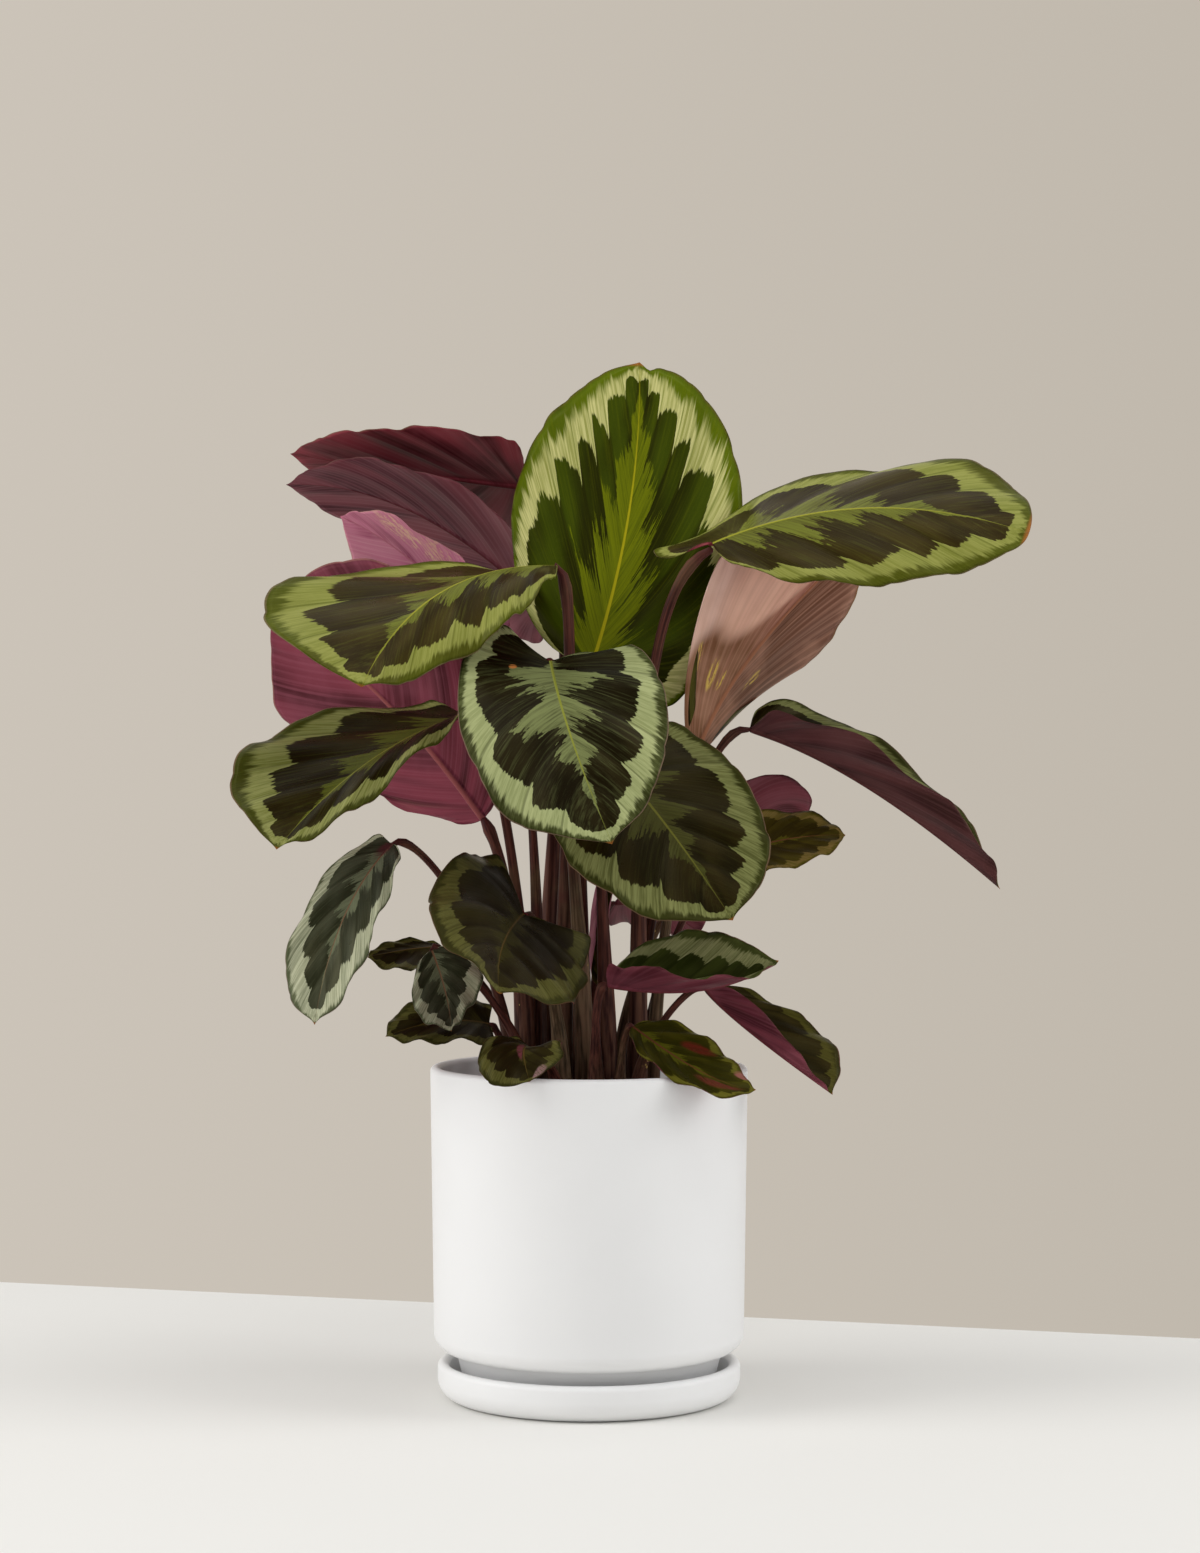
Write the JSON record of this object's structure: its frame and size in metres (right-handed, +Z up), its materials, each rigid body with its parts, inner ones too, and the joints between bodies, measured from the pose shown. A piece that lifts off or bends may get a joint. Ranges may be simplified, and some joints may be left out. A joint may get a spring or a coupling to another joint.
{
  "type": "potted medallion calathea",
  "caption": "Leafy prayer plant with broad patterned oval blades on long upright petioles, growing from soil in a white cylinder pot that stands on its matching saucer.",
  "frame": {"origin": "centre of the saucer's flat underside, on the pot's axis", "axes": "+Z up along the pot's axis, -Y towards the side that the picture shows, +X to the right as seen in the picture"},
  "size_m": [0.4203, 0.2907, 0.5631],
  "materials": {
    "pot_glaze": "satin",
    "saucer_glaze": "satin",
    "potting_soil": "matte",
    "petiole": "satin",
    "leaf_blade": "satin"
  },
  "bodies": {
    "root": {"pot": "pot_glaze", "saucer": "saucer_glaze", "soil": "potting_soil", "petiole_crown": "petiole", "blade_crown": "leaf_blade", "petiole_right_high": "petiole", "blade_right_high": "leaf_blade", "petiole_right_back": "petiole", "blade_right_back": "leaf_blade", "petiole_left_crest": "petiole", "blade_left_crest": "leaf_blade", "petiole_left_ridge": "petiole", "blade_left_ridge": "leaf_blade", "petiole_left_rose": "petiole", "blade_left_rose": "leaf_blade", "petiole_left_back": "petiole", "blade_left_back": "leaf_blade", "petiole_left_high": "petiole", "blade_left_high": "leaf_blade", "petiole_left_middle": "petiole", "blade_left_middle": "leaf_blade", "petiole_front_middle": "petiole", "blade_front_middle": "leaf_blade", "petiole_front_right": "petiole", "blade_front_right": "leaf_blade", "petiole_right_far": "petiole", "blade_right_far": "leaf_blade", "petiole_left_droop": "petiole", "blade_left_droop": "leaf_blade", "petiole_low_middle": "petiole", "blade_low_middle": "leaf_blade", "petiole_left_slip": "petiole", "blade_left_slip": "leaf_blade", "petiole_left_low": "petiole", "blade_left_low": "leaf_blade", "petiole_left_lowest": "petiole", "blade_left_lowest": "leaf_blade", "petiole_rim_left": "petiole", "blade_rim_left": "leaf_blade", "petiole_right_low": "petiole", "blade_right_low": "leaf_blade", "petiole_right_lowest": "petiole", "blade_right_lowest": "leaf_blade", "petiole_rim_right": "petiole", "blade_rim_right": "leaf_blade", "petiole_right_middle": "petiole", "blade_right_middle": "leaf_blade", "petiole_right_behind": "petiole", "blade_right_behind": "leaf_blade", "petiole_middle_behind": "petiole", "blade_middle_behind": "leaf_blade", "petiole_rolled": "petiole", "blade_rolled": "leaf_blade"}
  },
  "joints": []
}
